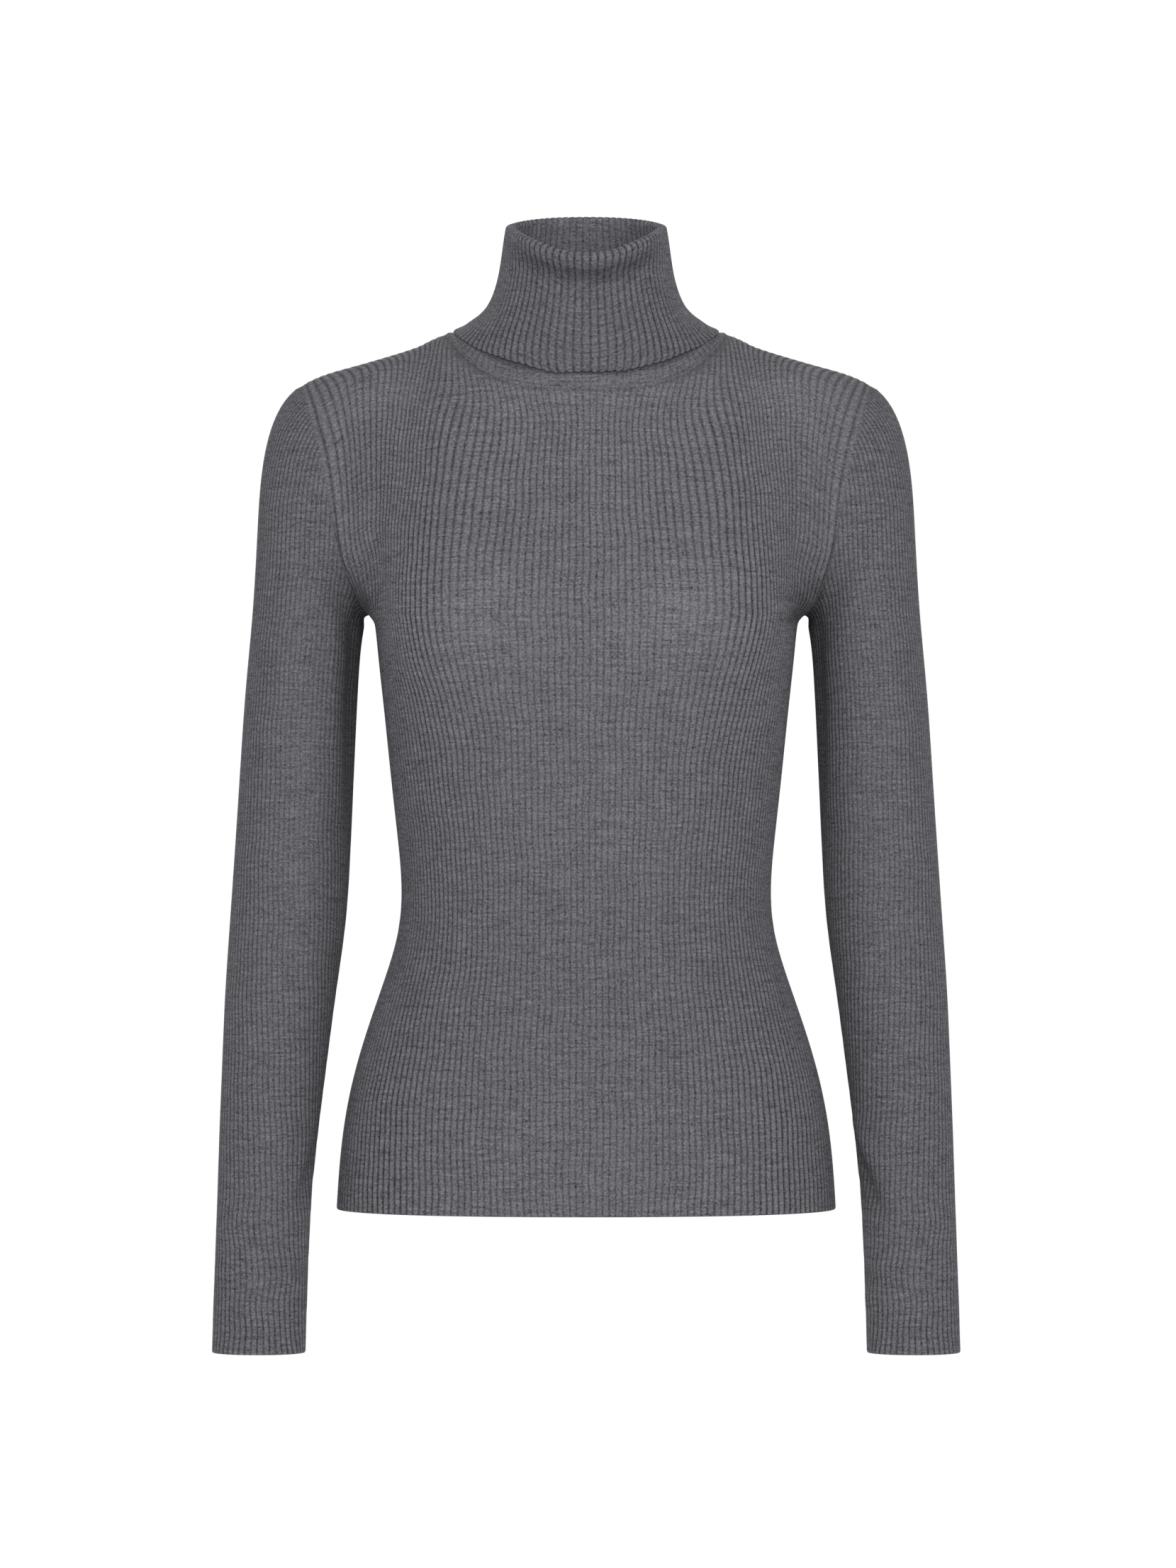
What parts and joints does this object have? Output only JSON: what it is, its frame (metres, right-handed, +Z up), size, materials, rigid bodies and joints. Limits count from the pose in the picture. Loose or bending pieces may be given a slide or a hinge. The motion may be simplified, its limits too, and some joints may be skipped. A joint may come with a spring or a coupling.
{
  "type": "turtleneck sweater",
  "caption": "Fitted ribbed knit pullover with long set-in sleeves and a tall turned-down roll collar, filled out as if worn and hollow inside.",
  "frame": {"origin": "middle of the neck's base, level with the high points of the shoulders at the sides of the neck", "axes": "+X to the wearer's left, +Y to the wearer's back, +Z up towards the collar"},
  "size_m": [0.4974, 0.2373, 0.7616],
  "materials": {
    "body_wool": "dull ribbed wool knit, charcoal grey with a little light fibre",
    "sleeve_wool": "dull ribbed wool knit, charcoal grey with a little light fibre",
    "collar_wool": "dull ribbed wool knit, charcoal grey with a little light fibre"
  },
  "bodies": {
    "root": {"front": "body_wool", "back": "body_wool", "sleeve_left": "sleeve_wool", "sleeve_right": "sleeve_wool", "collar": "collar_wool"}
  },
  "joints": []
}
